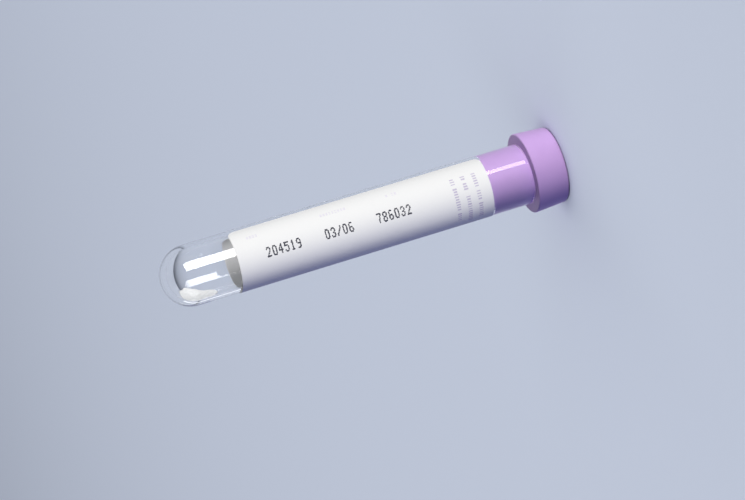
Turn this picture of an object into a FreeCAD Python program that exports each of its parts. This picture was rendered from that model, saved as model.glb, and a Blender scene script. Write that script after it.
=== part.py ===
import FreeCAD, Part
import math
import os
import Sketcher
from FreeCAD import Placement, Rotation, Vector

# A stoppered glass blood collection tube, standing on its head.
#
# The flat top of the stopper's head is the only face that the object can stand on, because its other end is
# round. So the head is below, the plug points up into the glass and the closed round end is at the top.
#
# Every piece is turned about the Z axis, which is the tube's own. +Z is up, Z = 0 is the surface that the head
# stands on, and the origin is the centre of the head's top.
#
# The label leaves a clear strip on the +X side.

SIZES = {
    # the glass
    "tube_length": (100.0, "tip of the round end to the rim"),
    "tube_diameter": (16.0, "outside of the glass"),
    "wall": (1.15, "glass along the straight part"),
    "bottom_thickness": (1.6, "glass at the tip of the round end"),
    "rim_round": (0.45, "fire-polished edges of the rim"),
    # the stopper's head
    "head_diameter": (21.2, "at the underside, where it is widest"),
    "head_top_diameter": (20.0, "at the top, before its edge is rounded"),
    "head_length": (8.8, "underside to top"),
    "head_top_round": (0.8, "outer edge of the top"),
    "head_foot_break": (0.3, "outer edge of the underside"),
    "recess_diameter": (8.0, "needle recess in the top"),
    "recess_depth": (3.6, "needle recess in the top"),
    "recess_mouth_break": (0.6, "edge of the needle recess"),
    # the stopper's plug
    "plug_length": (13.0, "underside of the head to the plug's end"),
    "plug_clearance": (0.04, "between plug and glass, all round"),
    "lead_length": (2.0, "tapered lead-in at the plug's end"),
    "lead_taper": (0.5, "how much the lead-in narrows on each side"),
    "hollow_diameter": (8.4, "the plug's hollow"),
    "hollow_depth": (12.4, "the plug's hollow"),
    "hollow_break": (1.0, "corner at the hollow's deepest"),
    # the label
    "label_start": (19.2, "tip of the round end to the label"),
    "label_length": (69.2, "along the tube"),
    "label_width": (43.0, "round the tube"),
    "label_thickness": (0.1, "paper and adhesive"),
    "label_corner": (1.0, "rounded corners"),
    # the dried additive
    "deposit_depth": (1.0, "where the round end begins"),
    "deposit_slope": (10.0, "degrees between its surface and the wall"),
    "deposit_turn": (150.0, "degrees from the clear strip's middle to the deposit"),
}

NEAR = 0.001

doc = FreeCAD.newDocument("blood_collection_tube")


def write_sizes():
    """The driving sizes, in millimetres or degrees, one row each."""
    sheet = doc.addObject("Spreadsheet::Sheet", "sizes")
    for row, (alias, (value, note)) in enumerate(SIZES.items(), start=1):
        sheet.set(f"A{row}", alias)
        sheet.set(f"B{row}", str(value))
        sheet.set(f"C{row}", note)
        sheet.setAlias(f"B{row}", alias)
    doc.recompute()


def write_fits():
    """What follows from the sizes and is used by more than one outline: radii, and heights along the axis."""
    fits = doc.addObject("App::VarSet", "fits")
    formulas = {
        "radius": "sizes.tube_diameter / 2",
        "bore": "fits.radius - sizes.wall",
        "plug": "fits.bore - sizes.plug_clearance",
        "head": "sizes.head_diameter / 2",
        "head_top": "sizes.head_top_diameter / 2",
        "recess": "sizes.recess_diameter / 2",
        "hollow": "sizes.hollow_diameter / 2",
        # The head's underside seats on the rim, so both are at this height.
        "seat": "sizes.head_length",
        "plug_end": "fits.seat + sizes.plug_length",
        "hollow_end": "fits.plug_end - sizes.hollow_depth",
        "tip": "fits.seat + sizes.tube_length",
        # The round end is a half ball outside and inside. The inner one is set lower, so the tip is thicker.
        "outer_centre": "fits.tip - fits.radius",
        "inner_centre": "fits.tip - sizes.bottom_thickness - fits.bore",
    }
    for name, formula in formulas.items():
        fits.addProperty("App::PropertyFloat", name)
        fits.setExpression(name, formula)
        doc.recompute()


def body_for(name):
    """A body on the tube's axis."""
    body = doc.addObject("PartDesign::Body", name)
    body.Label = name
    body.Placement = Placement(Vector(0, 0, 0), Rotation(Vector(0, 0, 1), 0))
    return body


def upright_sketch(body, name):
    """An empty sketch on the body's XZ plane: its own X is out from the axis and its own Y is up."""
    sketch = body.newObject("Sketcher::SketchObject", name)
    plane = [item for item in body.Origin.OriginFeatures if item.Role == "XZ_Plane"]
    sketch.AttachmentSupport = [(plane[0], "")]
    sketch.MapMode = "FlatFace"
    return sketch


def end_at(sketch, side, place):
    """Which end of a side, 1 or 2, lies at a place."""
    shape = sketch.Geometry[side]
    return 1 if shape.StartPoint.distanceToPoint(place) < NEAR else 2


def hold(sketch, side, end, out, height):
    """Holds an end of a side at a distance out from the axis and a height, each a formula."""
    for kind, formula, axis in (("DistanceX", out, -2), ("DistanceY", height, -1)):
        if formula == "0":
            sketch.addConstraint(Sketcher.Constraint("PointOnObject", side, end, axis))
            continue
        distance = sketch.evalExpression(formula)
        index = sketch.addConstraint(Sketcher.Constraint(kind, -1, 1, side, end, distance))
        sketch.setExpression(f"Constraints[{index}]", formula)


def draw(sketch, corners, domes=()):
    """A closed outline through the corners, each a pair of formulas: out from the axis, and height.

    A side listed in domes is a quarter circle centred on the axis, which bulges upwards.
    """
    places = [Vector(sketch.evalExpression(out), sketch.evalExpression(height), 0) for out, height in corners]
    sides = list(zip(places, places[1:] + places[:1]))
    for side, (start, stop) in enumerate(sides):
        if side in domes:
            shoulder = max(start, stop, key=lambda place: place.x)
            circle = Part.Circle(Vector(0, shoulder.y, 0), Vector(0, 0, 1), shoulder.x)
            sketch.addGeometry(Part.ArcOfCircle(circle, 0, math.pi / 2))
            sketch.addConstraint(Sketcher.Constraint("PointOnObject", side, 3, -2))
        else:
            sketch.addGeometry(Part.LineSegment(start, stop))
    for side, (start, stop) in enumerate(sides):
        following = (side + 1) % len(sides)
        ends = end_at(sketch, side, stop), end_at(sketch, following, stop)
        sketch.addConstraint(Sketcher.Constraint("Coincident", side, ends[0], following, ends[1]))
        hold(sketch, side, end_at(sketch, side, start), *corners[side])


def turned(body, kind, name, corners, domes=()):
    """A Revolution or a Groove of an outline, all the way round the axis."""
    sketch = upright_sketch(body, name + "_outline")
    draw(sketch, corners, domes)
    feature = body.newObject("PartDesign::" + kind, name)
    feature.Profile = sketch
    feature.ReferenceAxis = (sketch, ["V_Axis"])
    feature.Angle = 360
    doc.recompute()
    return feature


def ring_at(feature, out, height):
    """The name of the circular edge at a distance out from the axis and a height."""
    radius = feature.evalExpression(out)
    centre = feature.evalExpression(height)
    for number, edge in enumerate(feature.Shape.Edges, start=1):
        if edge.Degenerated or not isinstance(edge.Curve, Part.Circle):
            continue
        if abs(edge.Curve.Radius - radius) < NEAR and abs(edge.Curve.Center.z - centre) < NEAR:
            return f"Edge{number}"
    raise RuntimeError(f"{feature.Name} has no ring at {out}, {height}")


def eased(body, kind, name, size, edges):
    """A Fillet or a Chamfer on named edges of the body's last feature."""
    feature = body.newObject("PartDesign::" + kind, name)
    feature.Base = (feature.BaseFeature, edges)
    feature.setExpression("Radius" if kind == "Fillet" else "Size", size)
    doc.recompute()
    return feature


def make_tube():
    """One blown glass tube: straight wall, round bottom a little thicker at its tip, and polished rim."""
    body = body_for("tube")
    glass = turned(body, "Revolution", "glass", [
        ("0", "fits.tip"),
        ("fits.radius", "fits.outer_centre"),
        ("fits.radius", "fits.seat"),
        ("fits.bore", "fits.seat"),
        ("fits.bore", "fits.inner_centre"),
        ("0", "fits.inner_centre + fits.bore"),
    ], domes=(0, 4))
    rings = [ring_at(glass, out, "fits.seat") for out in ("fits.radius", "fits.bore")]
    eased(body, "Fillet", "polished_rim", "sizes.rim_round", rings)
    return body


def make_stopper():
    """One moulded rubber stopper: a head that seats on the rim, and a hollow plug that seals the bore.

    The head has a needle recess in its top and the plug is hollow at its end. The needle goes through the
    plain disc of rubber between them, and the thin wall of the plug can press on the glass.
    """
    body = body_for("stopper")
    turned(body, "Revolution", "head_and_plug", [
        ("0", "0"),
        ("fits.head_top", "0"),
        ("fits.head", "fits.seat"),
        ("fits.plug", "fits.seat"),
        ("fits.plug", "fits.plug_end - sizes.lead_length"),
        ("fits.plug - sizes.lead_taper", "fits.plug_end"),
        ("0", "fits.plug_end"),
    ])
    turned(body, "Groove", "needle_recess", [
        ("0", "0"),
        ("fits.recess", "0"),
        ("fits.recess", "sizes.recess_depth"),
        ("0", "sizes.recess_depth"),
    ])
    feature = turned(body, "Groove", "plug_hollow", [
        ("0", "fits.hollow_end"),
        ("fits.hollow", "fits.hollow_end"),
        ("fits.hollow", "fits.plug_end"),
        ("0", "fits.plug_end"),
    ])
    for kind, name, out, height in (
        ("Fillet", "head_top_round", "fits.head_top", "0"),
        ("Chamfer", "head_foot_break", "fits.head", "fits.seat"),
        ("Chamfer", "recess_mouth_break", "fits.recess", "0"),
        ("Chamfer", "hollow_break", "fits.hollow", "fits.hollow_end"),
    ):
        feature = eased(body, kind, name, "sizes." + name, [ring_at(feature, out, height)])
    return body


def make_label():
    """One paper label wrapped on the glass, with a clear strip left open between its two long edges."""
    body = body_for("label")
    sketch = upright_sketch(body, "paper_section")
    far_end = "fits.tip - sizes.label_start"
    near_end = "fits.tip - sizes.label_start - sizes.label_length"
    draw(sketch, [
        ("-fits.radius", near_end),
        ("-fits.radius - sizes.label_thickness", near_end),
        ("-fits.radius - sizes.label_thickness", far_end),
        ("-fits.radius", far_end),
    ])
    paper = body.newObject("PartDesign::Revolution", "paper")
    paper.Profile = sketch
    paper.ReferenceAxis = (sketch, ["V_Axis"])
    paper.Midplane = True
    paper.setExpression("Angle", "sizes.label_width / fits.radius * 1 rad")
    doc.recompute()
    thickness = paper.evalExpression("sizes.label_thickness")
    corners = [f"Edge{number}" for number, edge in enumerate(paper.Shape.Edges, start=1)
               if abs(edge.Length - thickness) < NEAR]
    eased(body, "Fillet", "round_corners", "sizes.label_corner", corners)
    return body


def make_additive():
    """The dried additive: a white cake on one side of the round end, thinning out to nothing at its edges.

    It is what the bore holds beyond one sloping flat surface. It is made on the body's +X side, and the body
    is turned round to where the additive dried.
    """
    body = body_for("additive")
    body.Placement.Rotation = Rotation(Vector(0, 0, 1), 1)
    body.setExpression("Placement.Rotation.Angle", "sizes.deposit_turn")
    low = "fits.inner_centre - sizes.tube_diameter"
    high = "fits.inner_centre + fits.bore"
    turned(body, "Revolution", "filled_round_end", [
        ("0", high),
        ("fits.bore", "fits.inner_centre"),
        ("fits.bore", low),
        ("0", low),
    ], domes=(0,))
    surface = "fits.bore - sizes.deposit_depth"
    sketch = upright_sketch(body, "bare_side")
    draw(sketch, [
        (f"{surface} + sizes.tube_diameter * tan(sizes.deposit_slope)", low),
        (f"{surface} - fits.bore * tan(sizes.deposit_slope)", high),
        ("-fits.radius", high),
        ("-fits.radius", low),
    ])
    bare = body.newObject("PartDesign::Pocket", "bare_glass")
    bare.Profile = sketch
    bare.SideType = "Symmetric"
    bare.setExpression("Length", "sizes.tube_diameter")
    doc.recompute()
    return body


def check(bodies):
    """Stops if any object failed, or if a piece is not one valid solid."""
    for item in doc.Objects:
        if "Invalid" in item.State or "Error" in item.State:
            raise RuntimeError(f"{item.Name} failed")
    for body in bodies:
        shape = body.Shape
        if shape.isNull() or not shape.isValid() or len(shape.Solids) != 1:
            raise RuntimeError(f"{body.Label} is not one valid solid")


write_sizes()
write_fits()
pieces = [make_tube(), make_stopper(), make_label(), make_additive()]
doc.recompute()
check(pieces)
os.makedirs("parts", exist_ok=True)
for piece in pieces:
    piece.Shape.exportStep(f"parts/{piece.Label}.step")
    box = piece.Shape.BoundBox
    print(f"{piece.Label}: {piece.Shape.Volume:.1f} mm3, X {box.XMin:.3f} to {box.XMax:.3f}, "
          f"Y {box.YMin:.3f} to {box.YMax:.3f}, Z {box.ZMin:.3f} to {box.ZMax:.3f}")
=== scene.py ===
# %% [markdown]
# # A stoppered glass blood collection tube
#
# A blood tube is three things that are made apart and put together: a glass tube blown from drawn tubing, a
# moulded rubber stopper that seals it, and a paper label. A little dried additive, which keeps the blood
# from clotting, sits on the wall of the round end.
#
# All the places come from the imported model, which is called the frame here. It stands on the flat top of
# the stopper, with the tube's axis on Z. Blender only gives each piece its fine form and its finish.

# %% Load the frame
import math

import bmesh
import bpy
from mathutils import Matrix, Vector, noise


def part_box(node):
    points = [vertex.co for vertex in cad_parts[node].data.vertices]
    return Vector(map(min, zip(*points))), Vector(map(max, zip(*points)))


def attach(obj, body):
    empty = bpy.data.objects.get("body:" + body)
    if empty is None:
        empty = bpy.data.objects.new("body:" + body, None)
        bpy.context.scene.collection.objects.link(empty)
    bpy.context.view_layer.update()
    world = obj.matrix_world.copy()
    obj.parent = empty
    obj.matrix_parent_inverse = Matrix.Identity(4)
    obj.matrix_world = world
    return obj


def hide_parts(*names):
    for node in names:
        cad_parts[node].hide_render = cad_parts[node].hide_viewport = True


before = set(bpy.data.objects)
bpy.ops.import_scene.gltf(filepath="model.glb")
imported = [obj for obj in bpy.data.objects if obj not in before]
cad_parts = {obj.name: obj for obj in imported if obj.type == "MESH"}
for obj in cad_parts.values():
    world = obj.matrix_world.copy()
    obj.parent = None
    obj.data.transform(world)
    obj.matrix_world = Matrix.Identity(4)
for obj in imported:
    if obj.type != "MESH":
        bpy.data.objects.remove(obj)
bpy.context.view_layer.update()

# %% [markdown]
# ## Sizes
#
# The script works in metres, because the frame does, and MM turns a size in millimetres into metres. Every
# piece is round, so a size is either a height or a distance from the axis. Both are read from the corners
# of the frame's own meshes, which lie exactly on the true surfaces.

# %% Measure the frame
MM = 0.001
NEAR = 0.02 * MM


def corners_of(node):
    """Each corner of a frame node as a pair: its distance from the axis and its height."""
    return [(math.hypot(v.co.x, v.co.y), v.co.z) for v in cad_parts[node].data.vertices]


glass_corners = corners_of("tube")
RIM = min(height for out, height in glass_corners)
TIP = max(height for out, height in glass_corners)
GLASS = max(out for out, height in glass_corners)
BORE = min(out for out, height in glass_corners if height < (RIM + TIP) / 2)
INNER_TIP = min(height for out, height in glass_corners if out < NEAR)
RIM_ROUND = GLASS - max(out for out, height in glass_corners if height < RIM + NEAR)
print(f"glass {GLASS / MM:.2f} mm, bore {BORE / MM:.2f} mm, rim rounding {RIM_ROUND / MM:.2f} mm")
print(f"rim at {RIM / MM:.2f} mm, inner tip at {INNER_TIP / MM:.2f} mm, tip at {TIP / MM:.2f} mm")

# %% [markdown]
# ## Round pieces
#
# Glass tubing and a moulded stopper are both solids of revolution. They could be made with the Screw
# modifier or with Spin, but those leave doubled poles and a seam. Here one function walks along an outline
# of corners, replaces each corner with an arc, and splits the straight runs, so that smooth shading stays
# true next to the small arcs. A second function turns that outline round the axis and closes its poles.

# %% Outline and turning
RUN = 2 * MM
ARC_STEP = math.radians(4)
SIDES = 360
SAME_PLACE = 1e-9


def outline(corners):
    """Points along a path through corners, each (out, height, radius), rounded to their radii."""
    places = [Vector(corner[:2]) for corner in corners]
    points = [places[0]]
    for before, place, after, corner in zip(places, places[1:], places[2:], corners[1:]):
        way_in, way_out = (place - before).normalized(), (after - place).normalized()
        turn = way_in.angle_signed(way_out)
        reach = corner[2] * math.tan(abs(turn) / 2)
        start = place - way_in * reach
        side = Vector((way_in.y, -way_in.x)) * math.copysign(1, turn)
        centre = start + side * corner[2]
        steps = max(1, math.ceil(abs(turn) / ARC_STEP)) if corner[2] else 0
        for step in range(steps + 1):
            spoke = Matrix.Rotation(-turn * step / max(steps, 1), 2) @ (start - centre)
            points.append(centre + spoke)
    points.append(places[-1])
    path = [points[0]]
    for start, stop in zip(points, points[1:]):
        if (stop - start).length < SAME_PLACE:
            continue
        pieces = math.ceil((stop - start).length / RUN)
        path += [start.lerp(stop, piece / pieces) for piece in range(1, pieces + 1)]
    return path


def turned(name, path):
    """A closed solid made by turning a path, which starts and ends on the axis, all the way round it."""
    mesh = bmesh.new()
    rings = []
    for out, height in path:
        if out < NEAR:
            rings.append([mesh.verts.new((0, 0, height))] * SIDES)
            continue
        angles = [2 * math.pi * side / SIDES for side in range(SIDES)]
        rings.append([mesh.verts.new((out * math.cos(a), out * math.sin(a), height)) for a in angles])
    for ring, following in zip(rings, rings[1:]):
        for side in range(SIDES):
            beside = (side + 1) % SIDES
            quad = [ring[side], ring[beside], following[beside], following[side]]
            mesh.faces.new(list(dict.fromkeys(quad)))
    bmesh.ops.recalc_face_normals(mesh, faces=mesh.faces)
    data = bpy.data.meshes.new(name)
    mesh.to_mesh(data)
    mesh.free()
    data.shade_smooth()
    piece = bpy.data.objects.new(name, data)
    bpy.context.scene.collection.objects.link(piece)
    print(f"{name}: {len(data.vertices)} corners")
    return piece


# %% [markdown]
# ## Materials
#
# Colours are written as the sRGB hex values that a painter would pick, and one function turns them into the
# linear light that the renderer adds up. Another adds one node with its settings and its links, and all the
# materials below are built with it.

# %% Colour and node helpers
def linear(code):
    """An sRGB hex colour as linear RGBA."""
    shares = [int(code[i:i + 2], 16) / 255 for i in (1, 3, 5)]
    return [s / 12.92 if s <= 0.04045 else ((s + 0.055) / 1.055) ** 2.4 for s in shares] + [1]


def add(tree, kind, settings=None, **sockets):
    """Adds a node. Settings are its own properties; sockets take a value, or an output to link from."""
    node = tree.nodes.new(kind)
    for name, value in (settings or {}).items():
        setattr(node, name, value)
    for name, value in sockets.items():
        key = int(name[2:]) if name.startswith("in") and name[2:].isdigit() else name.replace("_", " ")
        if isinstance(value, bpy.types.NodeSocket):
            tree.links.new(value, node.inputs[key])
        else:
            node.inputs[key].default_value = value
    return node


def new_material(name):
    """An empty material and its node tree."""
    material = bpy.data.materials.new(name)
    material.use_nodes = True
    material.node_tree.nodes.clear()
    return material, material.node_tree


# %% [markdown]
# ## Clear glass
#
# The tube is borosilicate glass. It is drawn as tubing, cut, and closed with a flame, so its surface is
# fire polished: perfectly smooth, with no colour. What makes it visible is bending and reflection, so it
# gets the true index of borosilicate, 1.47, and no roughness. A ray tracer would throw a black shadow
# behind such glass, because it can't aim light through a lens. Letting the shadow rays pass straight
# through, only a little dimmed, is the usual cure. The rays that leave a matt surface behind the glass pass
# in the same way, or a lamp would be counted twice.

# %% Borosilicate glass
def borosilicate_glass():
    material, tree = new_material("borosilicate_glass")
    glass = add(tree, "ShaderNodeBsdfPrincipled", Base_Color=linear("#FFFFFF"), Roughness=0.0, IOR=1.47,
                Transmission_Weight=1.0)
    clear = add(tree, "ShaderNodeBsdfTransparent", Color=linear("#FBFBFB"))
    path = add(tree, "ShaderNodeLightPath").outputs
    straight = add(tree, "ShaderNodeMath", {"operation": "MAXIMUM"}, in0=path["Is Shadow Ray"],
                   in1=path["Is Diffuse Ray"])
    mixed = add(tree, "ShaderNodeMixShader", in0=straight.outputs[0], in1=glass.outputs[0],
                in2=clear.outputs[0])
    add(tree, "ShaderNodeOutputMaterial", Surface=mixed.outputs[0])
    return material


# %% [markdown]
# ## The glass tube
#
# The blown bottom is a half ball outside and inside, and the inner one sits lower, so the glass is thickest
# at the tip. The cut rim has melted to a round edge in the flame. The outline has four corners: the two
# domes are corners rounded with the whole radius, and the rim has two small ones.

# %% Glass tube
# Each corner of an outline: how far out it is, its height, and the radius that it is rounded to.
glass_tube = turned("glass_tube", outline([
    (0, TIP, 0),
    (GLASS, TIP, GLASS),
    (GLASS, RIM, RIM_ROUND),
    (BORE, RIM, RIM_ROUND),
    (BORE, INNER_TIP, BORE),
    (0, INNER_TIP, 0),
]))
glass_tube.data.materials.append(borosilicate_glass())
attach(glass_tube, "tube")
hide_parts("tube")

# %% [markdown]
# ## Lavender rubber
#
# The stopper is moulded from pigmented butyl rubber and lightly siliconed. It is matt, with a soft sheen
# where a surface is seen at a low angle, and the mould's fine grit leaves a slight grain. Two noises give
# that: a small one bumps the surface, and a wide one makes the pigment a touch uneven.

# %% Stopper rubber
# The grain that a mould leaves is finer than this. It is too fine to show, so it is drawn coarser.
RUBBER_GRAIN = 0.25 * MM
GRAIN_DEPTH = 0.02 * MM
RUBBER_CLOUD = 4 * MM


def stopper_rubber():
    material, tree = new_material("lavender_butyl_rubber")
    place = add(tree, "ShaderNodeTexCoord").outputs["Object"]
    cloud = add(tree, "ShaderNodeTexNoise", Vector=place, Scale=1 / RUBBER_CLOUD, Detail=2.0)
    ramp = add(tree, "ShaderNodeValToRGB", Fac=cloud.outputs["Fac"])
    ramp.color_ramp.elements[0].color = linear("#C4A0DC")
    ramp.color_ramp.elements[1].color = linear("#CEAAE4")
    grain = add(tree, "ShaderNodeTexNoise", Vector=place, Scale=1 / RUBBER_GRAIN, Detail=3.0)
    bump = add(tree, "ShaderNodeBump", Height=grain.outputs["Fac"], Strength=0.25, Distance=GRAIN_DEPTH)
    rubber = add(tree, "ShaderNodeBsdfPrincipled", Base_Color=ramp.outputs["Color"], Roughness=0.5, IOR=1.5,
                 Sheen_Weight=0.15, Normal=bump.outputs["Normal"])
    add(tree, "ShaderNodeOutputMaterial", Surface=rubber.outputs[0])
    return material


# %% [markdown]
# ## The stopper
#
# One moulding: a head with a needle recess in its top, and a hollow plug that goes into the glass. Rubber
# is squeezed when it is pushed in and wets the glass, so no air is left between them and the plug's colour
# reaches the very edge of the tube. To show that, the plug is a hair wider than the bore.

# %% Measure the stopper
rubber_corners = corners_of("stopper")
PLUG = max(out for out, height in rubber_corners if height > RIM + NEAR)
PLUG_END = max(height for out, height in rubber_corners)
LEAD_START = max(height for out, height in rubber_corners if out > PLUG - NEAR)
LEAD_END = max(out for out, height in rubber_corners if height > PLUG_END - NEAR)
HOLLOW = min(out for out, height in rubber_corners if height > PLUG_END - NEAR)
HOLLOW_END = min(height for out, height in rubber_corners if height > RIM + NEAR)
RECESS = min(out for out, height in rubber_corners if height < RIM and out > NEAR)
RECESS_DEPTH = max(height for out, height in rubber_corners if abs(out - RECESS) < NEAR and height < RIM)
LOWEST_SIDE = RIM / 5
side_corners = sorted(
    (height, out) for out, height in rubber_corners if RIM > height > LOWEST_SIDE and out > PLUG)
low_side, high_side = side_corners[0], side_corners[-1]
HEAD_LEAN = (high_side[1] - low_side[1]) / (high_side[0] - low_side[0])
HEAD_TOP = low_side[1] - low_side[0] * HEAD_LEAN
HEAD_FOOT = HEAD_TOP + RIM * HEAD_LEAN
print(f"head {HEAD_TOP / MM:.2f} to {HEAD_FOOT / MM:.2f} mm")
print(f"recess {RECESS / MM:.2f} by {RECESS_DEPTH / MM:.2f} mm")
print(f"plug {PLUG / MM:.2f} mm, up to {PLUG_END / MM:.2f} mm")
print(f"hollow {HOLLOW / MM:.2f} mm, from {HOLLOW_END / MM:.2f} mm")

# %% Stopper
SQUEEZE = 0.01 * MM
wet_plug = BORE + SQUEEZE
stopper_moulding = turned("stopper_moulding", outline([
    (0, RECESS_DEPTH, 0),
    (RECESS, RECESS_DEPTH, 0.5 * MM),
    (RECESS, 0, 0.7 * MM),
    (HEAD_TOP, 0, 0.8 * MM),
    (HEAD_FOOT, RIM, 0.35 * MM),
    (wet_plug, RIM, 0.2 * MM),
    (wet_plug, LEAD_START, 1 * MM),
    (LEAD_END, PLUG_END, 0.5 * MM),
    (HOLLOW, PLUG_END, 0.4 * MM),
    (HOLLOW, HOLLOW_END, 1.2 * MM),
    (0, HOLLOW_END, 0),
]))
stopper_moulding.data.materials.append(stopper_rubber())
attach(stopper_moulding, "stopper")
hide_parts("stopper")

# %% [markdown]
# ## Flat work that is wrapped round the glass
#
# A label is cut and printed flat and then wrapped, and the same order works here. The paper and everything
# on it are laid out flat: X runs round the tube, Y along it and Z away from the glass. One group of
# geometry nodes then bends them all round the axis by the same rule, so print can't slide off the paper.
# Zero on X is the side that the numbers face, -Y.

# %% Wrapping group
def group_with(name, inputs):
    """A geometry node tree with named inputs of the kinds given, and the sockets to take them from."""
    tree = bpy.data.node_groups.new(name, "GeometryNodeTree")
    tree.interface.new_socket("Geometry", in_out="OUTPUT", socket_type="NodeSocketGeometry")
    for label, kind in inputs.items():
        tree.interface.new_socket(label, in_out="INPUT", socket_type="NodeSocket" + kind)
    return tree, add(tree, "NodeGroupInput").outputs


def wrapping_group():
    tree, given = group_with("Wrap Round Tube", {"Geometry": "Geometry", "Radius": "Float"})
    place = add(tree, "GeometryNodeInputPosition")
    flat = add(tree, "ShaderNodeSeparateXYZ", Vector=place.outputs[0]).outputs
    angle = add(tree, "ShaderNodeMath", {"operation": "DIVIDE"}, in0=flat["X"], in1=given["Radius"])
    out = add(tree, "ShaderNodeMath", {"operation": "ADD"}, in0=flat["Z"], in1=given["Radius"])
    sine = add(tree, "ShaderNodeMath", {"operation": "SINE"}, in0=angle.outputs[0])
    cosine = add(tree, "ShaderNodeMath", {"operation": "COSINE"}, in0=angle.outputs[0])
    ahead = add(tree, "ShaderNodeMath", {"operation": "MULTIPLY"}, in0=sine.outputs[0], in1=out.outputs[0])
    back = add(tree, "ShaderNodeMath", {"operation": "MULTIPLY"}, in0=cosine.outputs[0], in1=out.outputs[0])
    front = add(tree, "ShaderNodeMath", {"operation": "MULTIPLY"}, in0=back.outputs[0], in1=-1.0)
    bent = add(tree, "ShaderNodeCombineXYZ", X=ahead.outputs[0], Y=front.outputs[0], Z=flat["Y"])
    moved = add(tree, "GeometryNodeSetPosition", Geometry=given["Geometry"], Position=bent.outputs[0])
    add(tree, "NodeGroupOutput", in0=moved.outputs[0])
    return tree


WRAP = wrapping_group()
print("wrapping group:", len(WRAP.nodes), "nodes")


# %% Running a tree
def grown(name, tree, values, start=None):
    """A plain mesh object made by a tree from its named values, and optionally from a starting mesh."""
    data = start or bpy.data.meshes.new(name + "_start")
    maker = bpy.data.objects.new(name + "_maker", data)
    bpy.context.scene.collection.objects.link(maker)
    modifier = maker.modifiers.new("made", "NODES")
    modifier.node_group = tree
    for item in tree.interface.items_tree:
        if item.item_type == "SOCKET" and item.in_out == "INPUT" and item.name in values:
            modifier[item.identifier] = values[item.name]
    depsgraph = bpy.context.evaluated_depsgraph_get()
    made = bpy.data.meshes.new_from_object(maker.evaluated_get(depsgraph))
    made.name = name
    bpy.data.objects.remove(maker)
    piece = bpy.data.objects.new(name, made)
    bpy.context.scene.collection.objects.link(piece)
    print(f"{name}: {len(made.polygons)} faces")
    return piece


# %% [markdown]
# ## Coated label paper
#
# Label stock is bleached paper with a thin coating that takes print and sheds water. It is white, nearly
# matt, and shows its fibres only as a slight unevenness. Fibres lie mostly along the web, so the noise is
# stretched.

# %% Label paper
# Paper fibres are a few hundredths of a millimetre thick, too fine to show, so they are drawn coarser.
FIBRE = 0.12 * MM
FIBRE_DEPTH = 0.01 * MM


def label_paper():
    material, tree = new_material("coated_label_paper")
    place = add(tree, "ShaderNodeTexCoord").outputs["Object"]
    web = add(tree, "ShaderNodeMapping", Vector=place, Scale=(1, 1, 0.35))
    fibres = add(tree, "ShaderNodeTexNoise", Vector=web.outputs[0], Scale=1 / FIBRE, Detail=4.0)
    ramp = add(tree, "ShaderNodeValToRGB", Fac=fibres.outputs["Fac"])
    ramp.color_ramp.elements[0].color = linear("#EAEAEA")
    ramp.color_ramp.elements[1].color = linear("#F2F2F2")
    bump = add(tree, "ShaderNodeBump", Height=fibres.outputs["Fac"], Strength=0.2, Distance=FIBRE_DEPTH)
    paper = add(tree, "ShaderNodeBsdfPrincipled", Base_Color=ramp.outputs["Color"], Roughness=0.65, IOR=1.45,
                Normal=bump.outputs["Normal"])
    add(tree, "ShaderNodeOutputMaterial", Surface=paper.outputs[0])
    return material


PAPER = label_paper()
print("label paper:", len(PAPER.node_tree.nodes), "nodes")

# %% [markdown]
# ## The label
#
# A die-cut sheet with rounded corners, wrapped almost round the tube, so that a clear strip is left to see
# the blood through. A rectangle wrapped on a cylinder follows a rule, so geometry nodes make the whole
# piece: a grid is pulled in at its two long edges by the corner's arc, thickened, and bent. The adhesive
# wets the glass, so the sheet's back lies a hair inside the glass, and no air shows behind it.

# %% Measure the label
label_corners = [v.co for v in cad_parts["label"].data.vertices]
LABEL_FOOT = min(place.z for place in label_corners)
LABEL_HEAD = max(place.z for place in label_corners)
LABEL = max(math.hypot(place.x, place.y) for place in label_corners)
strip_edge = max(place.x for place in label_corners)
# Half of the clear strip, as an angle at the axis.
STRIP = math.acos(strip_edge / LABEL)
LABEL_WIDTH = (2 * math.pi - 2 * STRIP) * GLASS
# The label's middle is opposite the clear strip, a quarter turn from the side that the numbers face.
LABEL_MIDDLE = -math.pi / 2 * GLASS
LABEL_LENGTH = LABEL_HEAD - LABEL_FOOT
print(f"label {LABEL_WIDTH / MM:.2f} by {LABEL_LENGTH / MM:.2f} mm, {(LABEL - GLASS) / MM:.2f} mm thick")


# %% Label tree
LABEL_ROUND = 2 * MM
LABEL_COLUMNS = 345
LABEL_ROWS = 36
SHARP_ANGLE = math.radians(40)


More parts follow.
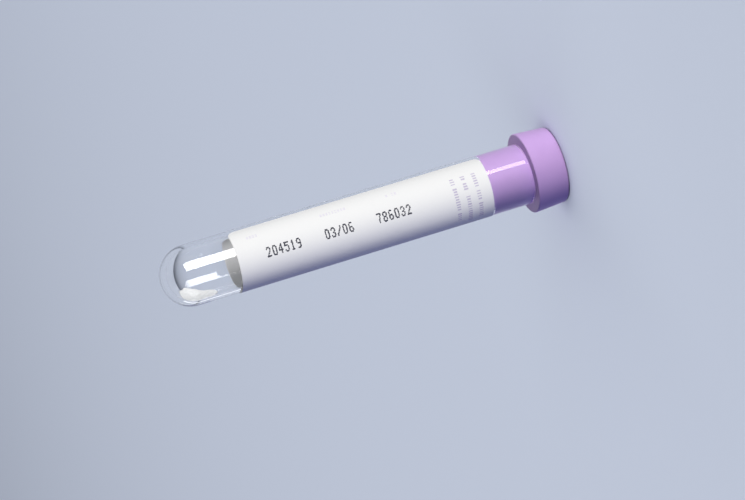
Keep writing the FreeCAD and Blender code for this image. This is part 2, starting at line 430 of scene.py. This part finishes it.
def label_tree():
    tree, given = group_with("Wrapped Label", {
        "Width": "Float", "Length": "Float", "Corner": "Float", "Thickness": "Float",
        "Columns": "Int", "Rows": "Int", "Middle": "Vector", "Radius": "Float", "Material": "Material"})
    grid = add(tree, "GeometryNodeMeshGrid", Size_X=given["Width"], Size_Y=given["Length"],
               Vertices_X=given["Columns"], Vertices_Y=given["Rows"]).outputs["Mesh"]
    place = add(tree, "GeometryNodeInputPosition")
    flat = add(tree, "ShaderNodeSeparateXYZ", Vector=place.outputs[0]).outputs
    half_width = add(tree, "ShaderNodeMath", {"operation": "MULTIPLY"}, in0=given["Width"], in1=0.5)
    from_middle = add(tree, "ShaderNodeMath", {"operation": "ABSOLUTE"}, in0=flat["X"])
    from_edge = add(tree, "ShaderNodeMath", {"operation": "SUBTRACT"}, in0=half_width.outputs[0],
                    in1=from_middle.outputs[0])
    inside = add(tree, "ShaderNodeMath", {"operation": "DIVIDE", "use_clamp": True},
                 in0=from_edge.outputs[0], in1=given["Corner"])
    beyond = add(tree, "ShaderNodeMath", {"operation": "SUBTRACT"}, in0=1.0, in1=inside.outputs[0])
    squared = add(tree, "ShaderNodeMath", {"operation": "MULTIPLY"}, in0=beyond.outputs[0],
                  in1=beyond.outputs[0])
    left = add(tree, "ShaderNodeMath", {"operation": "SUBTRACT"}, in0=1.0, in1=squared.outputs[0])
    arc = add(tree, "ShaderNodeMath", {"operation": "SQRT"}, in0=left.outputs[0])
    missing = add(tree, "ShaderNodeMath", {"operation": "SUBTRACT"}, in0=1.0, in1=arc.outputs[0])
    drop = add(tree, "ShaderNodeMath", {"operation": "MULTIPLY"}, in0=missing.outputs[0], in1=given["Corner"])
    half_length = add(tree, "ShaderNodeMath", {"operation": "MULTIPLY"}, in0=given["Length"], in1=0.5)
    lost = add(tree, "ShaderNodeMath", {"operation": "DIVIDE"}, in0=drop.outputs[0],
               in1=half_length.outputs[0])
    share = add(tree, "ShaderNodeMath", {"operation": "SUBTRACT"}, in0=1.0, in1=lost.outputs[0])
    along = add(tree, "ShaderNodeMath", {"operation": "MULTIPLY"}, in0=flat["Y"], in1=share.outputs[0])
    cut = add(tree, "ShaderNodeCombineXYZ", X=flat["X"], Y=along.outputs[0])
    sheet = add(tree, "GeometryNodeSetPosition", Geometry=grid, Position=cut.outputs[0],
                Offset=given["Middle"]).outputs[0]
    face = add(tree, "GeometryNodeExtrudeMesh", Mesh=sheet, Offset_Scale=given["Thickness"], Individual=False)
    back = add(tree, "GeometryNodeFlipFaces", Mesh=sheet).outputs[0]
    both = add(tree, "GeometryNodeJoinGeometry")
    tree.links.new(face.outputs["Mesh"], both.inputs[0])
    tree.links.new(back, both.inputs[0])
    whole = add(tree, "GeometryNodeMergeByDistance", Geometry=both.outputs[0], Distance=NEAR / 10).outputs[0]
    wrapped = add(tree, "GeometryNodeGroup", {"node_tree": WRAP}, Geometry=whole, Radius=given["Radius"])
    real = add(tree, "GeometryNodeRealizeInstances", Geometry=wrapped.outputs[0])
    named = add(tree, "GeometryNodeSetMaterial", Geometry=real.outputs[0], Material=given["Material"])
    add(tree, "NodeGroupOutput", in0=named.outputs[0])
    return tree


paper_label = grown("paper_label", label_tree(), {
    "Width": LABEL_WIDTH, "Length": LABEL_LENGTH, "Corner": LABEL_ROUND,
    "Thickness": LABEL - GLASS + SQUEEZE, "Columns": LABEL_COLUMNS, "Rows": LABEL_ROWS,
    "Middle": (LABEL_MIDDLE, (LABEL_FOOT + LABEL_HEAD) / 2, -SQUEEZE), "Radius": GLASS, "Material": PAPER})
paper_label.data.shade_smooth()
paper_label.data.set_sharp_from_angle(angle=SHARP_ANGLE)
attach(paper_label, "tube")
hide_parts("label")

# %% [markdown]
# ## Printed numbers
#
# The lot, date and serial numbers are put on by a dot printer after the label is made, so every digit is a
# 5 by 7 matrix of ink dots. The dots are what repeats: each lit cell of the matrix becomes a point, and a
# tree puts a small coin of ink on each point, a little off its place and of uneven size, as a fast printer
# does. The numbers themselves are plain ones.

# %% Digits
DIGITS = {
    "0": "01110 10001 10001 10001 10001 10001 01110",
    "1": "00100 01100 00100 00100 00100 00100 01110",
    "2": "01110 10001 00001 00010 00100 01000 11111",
    "3": "01110 10001 00001 00110 00001 10001 01110",
    "4": "00010 00110 01010 10010 11111 00010 00010",
    "5": "11111 10000 11110 00001 00001 10001 01110",
    "6": "01110 10000 10000 11110 10001 10001 01110",
    "7": "11111 00001 00010 00010 00100 00100 00100",
    "8": "01110 10001 10001 01110 10001 10001 01110",
    "9": "01110 10001 10001 01111 00001 00001 01110",
    "/": "00001 00001 00010 00100 01000 10000 10000",
}
DIGIT_HEIGHT = 2.25 * MM
DIGIT_WIDTH = 0.85 * MM
DIGIT_PITCH = 1.62 * MM
PRINT_UP = -0.25 * MM
ROWS = 7
COLUMNS = 5
ROUND_END = TIP - GLASS
# Each number, and how many millimetres its middle is from where the round end begins.
PRINTED = {"204519": 23.5, "03/06": 38.6, "786032": 53.6}


def dots_of(text, middle):
    """The flat place of each dot: text runs to the stopper, and its top is towards the clear strip."""
    dots = []
    for index, digit in enumerate(text):
        left = (index - (len(text) - 1) / 2) * DIGIT_PITCH
        for row, cells in enumerate(DIGITS[digit].split()):
            for column, cell in enumerate(cells):
                along = left + (column / (COLUMNS - 1) - 0.5) * DIGIT_WIDTH
                up = PRINT_UP + (0.5 - row / (ROWS - 1)) * DIGIT_HEIGHT
                if cell == "1":
                    dots.append((up, middle - along, 0))
    return dots


def points_mesh(name, places):
    data = bpy.data.meshes.new(name)
    data.from_pydata(places, [], [])
    return data


dots = [dot for text, reach in PRINTED.items() for dot in dots_of(text, ROUND_END - reach * MM)]
print(len(dots), "dots in", len(PRINTED), "numbers")


# %% Ink
INK_PATCH = 0.3 * MM
THIN_INK = 1.25


def ink(name, code):
    """Dried ink: the same colour all over, less glossy than the coating, a little thin in places."""
    material, tree = new_material(name)
    place = add(tree, "ShaderNodeTexCoord").outputs["Object"]
    thin = add(tree, "ShaderNodeTexNoise", Vector=place, Scale=1 / INK_PATCH, Detail=2.0)
    ramp = add(tree, "ShaderNodeValToRGB", Fac=thin.outputs["Fac"])
    shades = [min(1, share * THIN_INK) for share in linear(code)[:3]]
    ramp.color_ramp.elements[0].color = linear(code)
    ramp.color_ramp.elements[1].color = shades + [1]
    dried = add(tree, "ShaderNodeBsdfPrincipled", Base_Color=ramp.outputs["Color"], Roughness=0.6)
    add(tree, "ShaderNodeOutputMaterial", Surface=dried.outputs[0])
    return material


# %% Ink dots tree
INK_LIFT = 0.012 * MM
DOT_RADIUS = 0.215 * MM
DOT_STRAY = 0.03 * MM
SMALLEST_DOT = 0.85
LARGEST_DOT = 1.1
COIN_SIDES = 10


def dots_tree():
    tree, given = group_with("Ink Dots", {
        "Geometry": "Geometry", "Dot": "Float", "Ink": "Float", "Scatter": "Float", "Seed": "Int",
        "Radius": "Float", "Material": "Material"})
    coin = add(tree, "GeometryNodeMeshCylinder", Vertices=COIN_SIDES, Radius=given["Dot"],
               Depth=given["Ink"])
    back = add(tree, "ShaderNodeMath", {"operation": "MULTIPLY"}, in0=given["Scatter"], in1=-1.0)
    low = add(tree, "ShaderNodeCombineXYZ", X=back.outputs[0], Y=back.outputs[0])
    high = add(tree, "ShaderNodeCombineXYZ", X=given["Scatter"], Y=given["Scatter"])
    stray = add(tree, "FunctionNodeRandomValue", {"data_type": "FLOAT_VECTOR"}, in0=low.outputs[0],
                in1=high.outputs[0], Seed=given["Seed"])
    placed = add(tree, "GeometryNodeSetPosition", Geometry=given["Geometry"], Offset=stray.outputs[0])
    size = add(tree, "FunctionNodeRandomValue", {"data_type": "FLOAT"}, in2=SMALLEST_DOT, in3=LARGEST_DOT,
               Seed=given["Seed"])
    coins = add(tree, "GeometryNodeInstanceOnPoints", Points=placed.outputs[0], Instance=coin.outputs["Mesh"],
                Scale=size.outputs[1])
    real = add(tree, "GeometryNodeRealizeInstances", Geometry=coins.outputs[0])
    wrapped = add(tree, "GeometryNodeGroup", {"node_tree": WRAP}, Geometry=real.outputs[0],
                  Radius=given["Radius"])
    real_again = add(tree, "GeometryNodeRealizeInstances", Geometry=wrapped.outputs[0])
    named = add(tree, "GeometryNodeSetMaterial", Geometry=real_again.outputs[0], Material=given["Material"])
    add(tree, "NodeGroupOutput", in0=named.outputs[0])
    return tree


printed_numbers = grown("printed_numbers", dots_tree(), {
    "Dot": DOT_RADIUS, "Ink": 2 * INK_LIFT, "Scatter": DOT_STRAY, "Seed": 7, "Radius": LABEL,
    "Material": ink("printer_ink", "#3C3C44")}, points_mesh("number_points", dots))
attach(printed_numbers, "tube")

# %% [markdown]
# ## Small print
#
# Real labels carry headings over the numbers and a few lines of instructions at the stopper's end. They are
# too small to read here, so they stay unreadable: rows of little blocks of ink, each the size of a letter,
# with gaps for the spaces between words. One tree lays a grid of letters, drops some at random, varies the
# rest and wraps them, and it is used with other numbers for each place.

# %% Small print tree
SMALLEST_LETTER = (0.55, 0.75, 1)
LARGEST_LETTER = (1.1, 1.0, 1)


def small_print_tree():
    tree, given = group_with("Small Print", {
        "Letters": "Int", "Lines": "Int", "Pitch": "Float", "Line Pitch": "Float", "Letter": "Vector",
        "Spaces": "Float", "Turn": "Vector", "Place": "Vector", "Seed": "Int", "Radius": "Float",
        "Material": "Material"})

    def span(count, pitch):
        gaps = add(tree, "ShaderNodeMath", {"operation": "SUBTRACT"}, in0=given[count], in1=1.0)
        return add(tree, "ShaderNodeMath", {"operation": "MULTIPLY"}, in0=gaps.outputs[0], in1=given[pitch])

    grid = add(tree, "GeometryNodeMeshGrid", Size_X=span("Letters", "Pitch").outputs[0],
               Size_Y=span("Lines", "Line Pitch").outputs[0], Vertices_X=given["Letters"],
               Vertices_Y=given["Lines"])
    points = add(tree, "GeometryNodeMeshToPoints", Mesh=grid.outputs["Mesh"])
    space = add(tree, "FunctionNodeRandomValue", {"data_type": "BOOLEAN"}, Probability=given["Spaces"],
                Seed=given["Seed"])
    words = add(tree, "GeometryNodeDeleteGeometry", Geometry=points.outputs[0], Selection=space.outputs[3])
    block = add(tree, "GeometryNodeMeshCube", Size=given["Letter"])
    size = add(tree, "FunctionNodeRandomValue", {"data_type": "FLOAT_VECTOR"}, in0=SMALLEST_LETTER,
               in1=LARGEST_LETTER, Seed=given["Seed"])
    letters = add(tree, "GeometryNodeInstanceOnPoints", Points=words.outputs[0],
                  Instance=block.outputs["Mesh"], Scale=size.outputs[0])
    real = add(tree, "GeometryNodeRealizeInstances", Geometry=letters.outputs[0])
    laid = add(tree, "GeometryNodeTransform", Geometry=real.outputs[0], Translation=given["Place"],
               Rotation=given["Turn"])
    wrapped = add(tree, "GeometryNodeGroup", {"node_tree": WRAP}, Geometry=laid.outputs[0],
                  Radius=given["Radius"])
    real_again = add(tree, "GeometryNodeRealizeInstances", Geometry=wrapped.outputs[0])
    named = add(tree, "GeometryNodeSetMaterial", Geometry=real_again.outputs[0], Material=given["Material"])
    add(tree, "NodeGroupOutput", in0=named.outputs[0])
    return tree


# %% Headings and notes
FAINT_INK = ink("faint_heading_ink", "#D9D6DE")
NOTE_INK = ink("note_ink", "#BDB6C9")
QUARTER = math.pi / 2
HEADING_UP = 5 * MM
HEADING_LETTER = (0.55 * MM, 0.95 * MM, 2 * INK_LIFT)
HEADING_PITCH = 0.8 * MM
HEADING_LINE_PITCH = 1 * MM
HEADING_SPACES = 0.1
NOTE_LETTER = (0.42 * MM, 1.25 * MM, 2 * INK_LIFT)
NOTE_PITCH = 0.68 * MM
NOTE_LINE_PITCH = 3 * MM
NOTE_SPACES = 0.16
NOTE_PLACE = (-2.6 * MM, ROUND_END - 73.8 * MM, 0)
small_print = small_print_tree()
# Each heading: how many millimetres its middle is from where the round end begins, and how many letters.
headings = {"lot_heading": (16.6, 4), "date_heading": (38.6, 9), "serial_heading": (54.6, 4)}
for number, (name, (reach, letters)) in enumerate(headings.items()):
    heading = grown(name, small_print, {
        "Letters": letters, "Lines": 1, "Pitch": HEADING_PITCH, "Line Pitch": HEADING_LINE_PITCH,
        "Letter": HEADING_LETTER, "Spaces": HEADING_SPACES, "Turn": (0, 0, -QUARTER),
        "Place": (HEADING_UP, ROUND_END - reach * MM, 0), "Seed": number, "Radius": LABEL,
        "Material": FAINT_INK})
    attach(heading, "tube")

notes = grown("small_print", small_print, {
    "Letters": 20, "Lines": 3, "Pitch": NOTE_PITCH, "Line Pitch": NOTE_LINE_PITCH,
    "Letter": NOTE_LETTER, "Spaces": NOTE_SPACES, "Turn": (0, 0, 0), "Place": NOTE_PLACE,
    "Seed": 11, "Radius": LABEL, "Material": NOTE_INK})
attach(notes, "tube")

# %% [markdown]
# ## Dried additive
#
# The anticoagulant is a salt that is sprayed or dripped in and dried, so it ends as a thin white cake on
# the wall. Its edge is crisp but uneven, and its top is lumpy. A sheet of points is laid on the bore, in
# distances along the tube and round it, inside a wavy outline, and each point is raised towards the axis by
# a dome of noise. A second sheet a hair inside the glass closes it.

# %% Additive outline
EDGE_WAVE = 0.06
EDGE_WAVES = 4
WAVE_LAYER = 5
# How many millimetres the outline is from the middle, at even steps all the way round, before its waves.
CAKE_REACHES = [4.6, 4.8, 4.7, 4.5, 4.7, 5.6, 5.4, 3.2, 2.7, 3.3, 4.7, 5.1]
INNER_CENTRE = INNER_TIP - BORE
cake_low, cake_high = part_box("additive")
CAKE_TURN = math.atan2((cake_low.y + cake_high.y) / 2, (cake_low.x + cake_high.x) / 2)
print(f"additive {math.degrees(CAKE_TURN):.0f} degrees round, {(cake_high.z - cake_low.z) / MM:.1f} mm long")


def on_bore(along, around, depth):
    """A point raised off the bore's wall by a depth, at distances along and round it from the middle.

    The middle is on the additive's side, at the height where the inner ball begins.
    """
    angle = CAKE_TURN + around / BORE
    lift = max(0, along) / BORE
    out = (BORE - depth) * math.cos(lift)
    height = INNER_CENTRE + min(0, along) + (BORE - depth) * math.sin(lift)
    return Vector((out * math.cos(angle), out * math.sin(angle), height))


def smooth_loop(values, share):
    """A value a share of the way round a closed loop of values, with no corners (a Catmull-Rom curve)."""
    step = int(share * len(values))
    t = share * len(values) - step
    p, q, r, z = (values[(step + offset) % len(values)] for offset in (-1, 0, 1, 2))
    return q + t / 2 * (r - p + t * (2 * p - 5 * q + 4 * r - z + t * (3 * (q - r) + z - p)))


def cake_edge(share):
    """The outline, a share of the way round: broad over the round end and narrow towards the stopper."""
    reach = smooth_loop(CAKE_REACHES, share) * MM
    turn = 2 * math.pi * share
    spot = Vector((EDGE_WAVES * math.cos(turn), EDGE_WAVES * math.sin(turn), WAVE_LAYER))
    wave = 1 + EDGE_WAVE * noise.noise(spot)
    return Vector((math.cos(turn), math.sin(turn))) * reach * wave


# %% Additive solid
CAKE_RINGS = 28
CAKE_SIDES = 120
CAKE_THICKNESS = 0.55 * MM
CAKE_LUMPS = 0.18 * MM
LUMP_SIZE = 1.1 * MM
LUMP_FALLOFF = 1.0
LUMP_SPLIT = 2.0
LUMP_OCTAVES = 4


def additive_cake():
    """The cake as a closed solid: a lumpy sheet over a plain one, joined along the outline."""
    mesh = bmesh.new()
    sheets = []
    for back in (False, True):
        rows = []
        for ring in range(CAKE_RINGS + 1):
            share = ring / CAKE_RINGS
            row = []
            for side in range(CAKE_SIDES if ring else 1):
                place = cake_edge(side / CAKE_SIDES) * share
                spot = Vector((place.x, place.y, 0)) / LUMP_SIZE
                lumps = noise.fractal(spot, LUMP_FALLOFF, LUMP_SPLIT, LUMP_OCTAVES)
                dome = (1 - share ** 4) ** 0.5
                raised = (CAKE_THICKNESS + CAKE_LUMPS * lumps) * dome - SQUEEZE * share
                depth = -SQUEEZE if back else raised
                row.append(on_bore(place.x, place.y, depth))
            rows.append(row)
        sheets.append(rows)
    built = []
    for rows in sheets:
        built.append([[mesh.verts.new(place) for place in row] for row in rows])
    for grid in built:
        for inner, outer in zip(grid, grid[1:]):
            for side in range(CAKE_SIDES):
                beside = (side + 1) % CAKE_SIDES
                quad = [inner[side % len(inner)], inner[beside % len(inner)], outer[beside], outer[side]]
                mesh.faces.new(list(dict.fromkeys(quad)))
    bmesh.ops.remove_doubles(mesh, verts=mesh.verts, dist=SQUEEZE / 10)
    bmesh.ops.recalc_face_normals(mesh, faces=mesh.faces)
    data = bpy.data.meshes.new("additive_cake")
    mesh.to_mesh(data)
    mesh.free()
    data.shade_smooth()
    piece = bpy.data.objects.new("additive_cake", data)
    bpy.context.scene.collection.objects.link(piece)
    return piece


# %% [markdown]
# ## White salt
#
# A salt that has dried out of a solution is a crust of tiny crystals. They scatter the light every way, so
# it looks a pure and quite matt white, with a rough surface. Modelled crystals would cost many faces and
# not be seen at this size. One noise does it instead: it varies the white a little and bumps the surface.

# %% Dried salt
CRUST = 0.35 * MM
CRUST_DEPTH = 0.06 * MM


def dried_salt():
    material, tree = new_material("dried_white_salt")
    place = add(tree, "ShaderNodeTexCoord").outputs["Object"]
    crust = add(tree, "ShaderNodeTexNoise", Vector=place, Scale=1 / CRUST, Detail=5.0)
    ramp = add(tree, "ShaderNodeValToRGB", Fac=crust.outputs["Fac"])
    ramp.color_ramp.elements[0].color = linear("#F0F2F4")
    ramp.color_ramp.elements[1].color = linear("#FEFEFE")
    bump = add(tree, "ShaderNodeBump", Height=crust.outputs["Fac"], Strength=0.5, Distance=CRUST_DEPTH)
    salt = add(tree, "ShaderNodeBsdfPrincipled", Base_Color=ramp.outputs["Color"], Roughness=0.9,
               Normal=bump.outputs["Normal"])
    add(tree, "ShaderNodeOutputMaterial", Surface=salt.outputs[0])
    return material


# %% Additive
cake = additive_cake()
cake.data.materials.append(dried_salt())
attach(cake, "tube")
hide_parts("additive")
print(f"additive_cake: {len(cake.data.polygons)} faces")

# %% [markdown]
# ## Floor
#
# A plain pale surface, wide enough to fill the view. It is not part of the object.

# %% Floor
PALE_SHADE = "#C3CBDC"
FLOOR_RADIUS = 6


def pale_surface():
    material, tree = new_material("pale_studio_floor")
    surface = add(tree, "ShaderNodeBsdfPrincipled", Base_Color=linear(PALE_SHADE), Roughness=0.75)
    add(tree, "ShaderNodeOutputMaterial", Surface=surface.outputs[0])
    return material


bpy.ops.mesh.primitive_circle_add(vertices=128, radius=FLOOR_RADIUS, fill_type="NGON")
floor = bpy.context.object
floor.name = "floor"
floor.data.materials.append(pale_surface())
print(f"floor {FLOOR_RADIUS} m from its middle to its edge")

# %% [markdown]
# ## Light
#
# A matt thing shows the light that falls on it, and glass shows what it reflects, so each kind gets lights
# of its own. Soft boxes shade the label and the stopper, and are hidden from reflections. A key stands on
# the numbered side, a little towards the clear strip, and level with the tube. A weak fill in front of it
# is high up, so that it reaches in through the round end, and a bluish one on the dark side and a white one
# at the back keep those sides readable. The stopper has a key of its own, further round, and a small card
# on the floor that lifts the rounded edge of its head. Another box hangs overhead and lights the floor
# alone, which keeps it even. The bounce off so wide and pale a floor would flatten the shading, so matt
# surfaces don't see it.

# %% Soft box helpers
TUBE_MIDDLE = (0, 0, TIP / 2)
WHITE = "#FFFFFF"


def soft_box(name, place, aim, size, power, code=WHITE, matt=True):
    """An area light that is seen either by matt surfaces or in reflections, and never by the camera."""
    light = bpy.data.lights.new(name, "AREA")
    light.shape = "RECTANGLE"
    light.size, light.size_y = size
    light.energy = power
    light.color = linear(code)[:3]
    box = bpy.data.objects.new(name, light)
    box.location = place
    box.rotation_euler = (Vector(aim) - Vector(place)).to_track_quat("-Z", "Y").to_euler()
    box.visible_diffuse = matt
    box.visible_glossy = box.visible_transmission = not matt
    box.visible_camera = False
    bpy.context.scene.collection.objects.link(box)
    return box


def link_light(box, pieces, state):
    """Makes a light reach some pieces alone (INCLUDE), or everything but those pieces (EXCLUDE)."""
    group = bpy.data.collections.new(box.name + "_link")
    for number, piece in enumerate(pieces):
        group.objects.link(piece)
        group.collection_objects[number].light_linking.link_state = state
    box.light_linking.receiver_collection = group


def around(degrees, distance, height):
    """A place round the tube, in degrees from the side that the numbers face towards the clear strip."""
    angle = math.radians(degrees)
    return (distance * math.sin(angle), -distance * math.cos(angle), height)


# %% Soft boxes
BLUISH = "#A0A8EE"
BOX_DISTANCE = 0.9
floor.visible_diffuse = False
overhead = soft_box("overhead", place=(0, 0, 1.6), aim=(0, 0, 0), size=(2.4, 2.4), power=41)
link_light(overhead, [floor], "INCLUDE")

# Each box: its place, its size in metres, its power in watts, its colour, and what it doesn't light.
boxes = {
    "key": (around(30, BOX_DISTANCE, 0.06), (0.5, 0.1), 8.0, WHITE, [floor, stopper_moulding]),
    "front_fill": (around(10, 0.85, 0.38), (0.5, 0.1), 1.4, WHITE, [floor, stopper_moulding]),
    "side_fill": (around(-80, BOX_DISTANCE, 0.08), (0.8, 0.15), 2.7, BLUISH, [floor]),
    "back_fill": (around(180, BOX_DISTANCE, 0.12), (1.0, 0.2), 7.5, WHITE, [floor]),
}
for name, (place, size, power, code, unlit) in boxes.items():
    link_light(soft_box(name, place, TUBE_MIDDLE, size, power, code), unlit, "EXCLUDE")

stopper_key = soft_box("stopper_key", place=around(39, BOX_DISTANCE, 0.06), aim=TUBE_MIDDLE,
                       size=(0.5, 0.1), power=8.6)
rim_place = Vector(around(45, 0.05, 0.0006))
rim_card = soft_box("rim_card", place=rim_place, aim=rim_place + Vector((0, 0, 1)),
                    size=(0.06, 0.06), power=0.003)
for light in (stopper_key, rim_card):
    link_light(light, [stopper_moulding], "INCLUDE")
print(len(boxes), "soft boxes, 2 for the stopper and 1 for the floor")

# %% [markdown]
# ## Reflections
#
# The bright bars along the glass are pictures of cards with a shape. The cards stand upright, face the tube
# and are linked to the glass alone. A mirror as curved as this one makes a thing look very thin, so the
# card for the bars is wider than the tube is long and the bars are still narrow. The first bar comes from
# the near wall. The second comes from the far wall, which is a hollow mirror, so it lies on the other side
# of the tube's middle. A small card low down gives the streak over the plug. Both would glare through the
# clear end when the tube is seen from behind, so their light is switched on by the number of mirror
# bounces: none, and they are dark. A narrow, dim card behind the tube draws a thin light line just inside
# the edge that is away from the clear strip. The world is what the rest of the glass shows, so it has the
# floor's colour.

# %% Cards and world
def only_mirrored(card):
    """Lets a card be seen in a reflection, but not by looking straight through the glass at it."""
    card.data.use_nodes = True
    tree = card.data.node_tree
    bounces = add(tree, "ShaderNodeLightPath").outputs["Glossy Depth"]
    seen = add(tree, "ShaderNodeMath", {"operation": "MINIMUM"}, in0=bounces, in1=1.0)
    tree.links.new(seen.outputs[0], tree.nodes["Emission"].inputs["Strength"])


# Each card: its place, its size in metres, its power in watts, and if it is seen only in a mirror bounce.
cards = {
    "bar_card": (around(33.5, 0.26, 0.1), (0.139, 0.2), 2.2, True),
    "streak_card": (around(37, 0.035, 0.0065), (0.008, 0.012), 0.0028, True),
    "edge_card": (around(-143, 0.3, 0.1), (0.03, 0.2), 0.016, False),
}
for name, (place, size, power, mirrored) in cards.items():
    card = soft_box(name, place, (0, 0, place[2]), size, power, matt=False)
    link_light(card, [glass_tube], "INCLUDE")
    if mirrored:
        only_mirrored(card)
print(len(cards), "cards for the glass")

WORLD_STRENGTH = 0.9
world = bpy.data.worlds.new("studio")
world.use_nodes = True
background = world.node_tree.nodes["Background"]
background.inputs["Color"].default_value = linear(PALE_SHADE)
background.inputs["Strength"].default_value = WORLD_STRENGTH
world.cycles_visibility.diffuse = False
bpy.context.scene.world = world

# %% [markdown]
# ## Camera
#
# A long lens keeps the tube's sides nearly parallel. The camera looks at the numbered side from a little
# towards the round end, and is rolled, so that the tube lies across the picture with the round end at the
# left.

# %% Camera
ELEVATION = math.radians(14.3)
ROLL = math.radians(-107.04)
DISTANCE = 1.025
LENS = 193.3
FAR_CLIP = 50
AIM = Vector((-7.45 * MM, 0, 53.33 * MM))

camera_data = bpy.data.cameras.new("camera")
camera_data.lens = LENS
camera_data.clip_end = FAR_CLIP
camera = bpy.data.objects.new("camera", camera_data)
back = Vector((0, -math.cos(ELEVATION), math.sin(ELEVATION)))
level = Matrix((Vector((1, 0, 0)), back.cross(Vector((1, 0, 0))), back)).transposed()
camera.matrix_world = Matrix.Translation(AIM + back * DISTANCE) @ (
    level @ Matrix.Rotation(ROLL, 3, "Z")).to_4x4()
bpy.context.scene.collection.objects.link(camera)
bpy.context.scene.camera = camera
bpy.context.scene.view_settings.view_transform = "Standard"
print(f"camera {DISTANCE:.3f} m from the point it looks at, with a {LENS:.1f} mm lens")
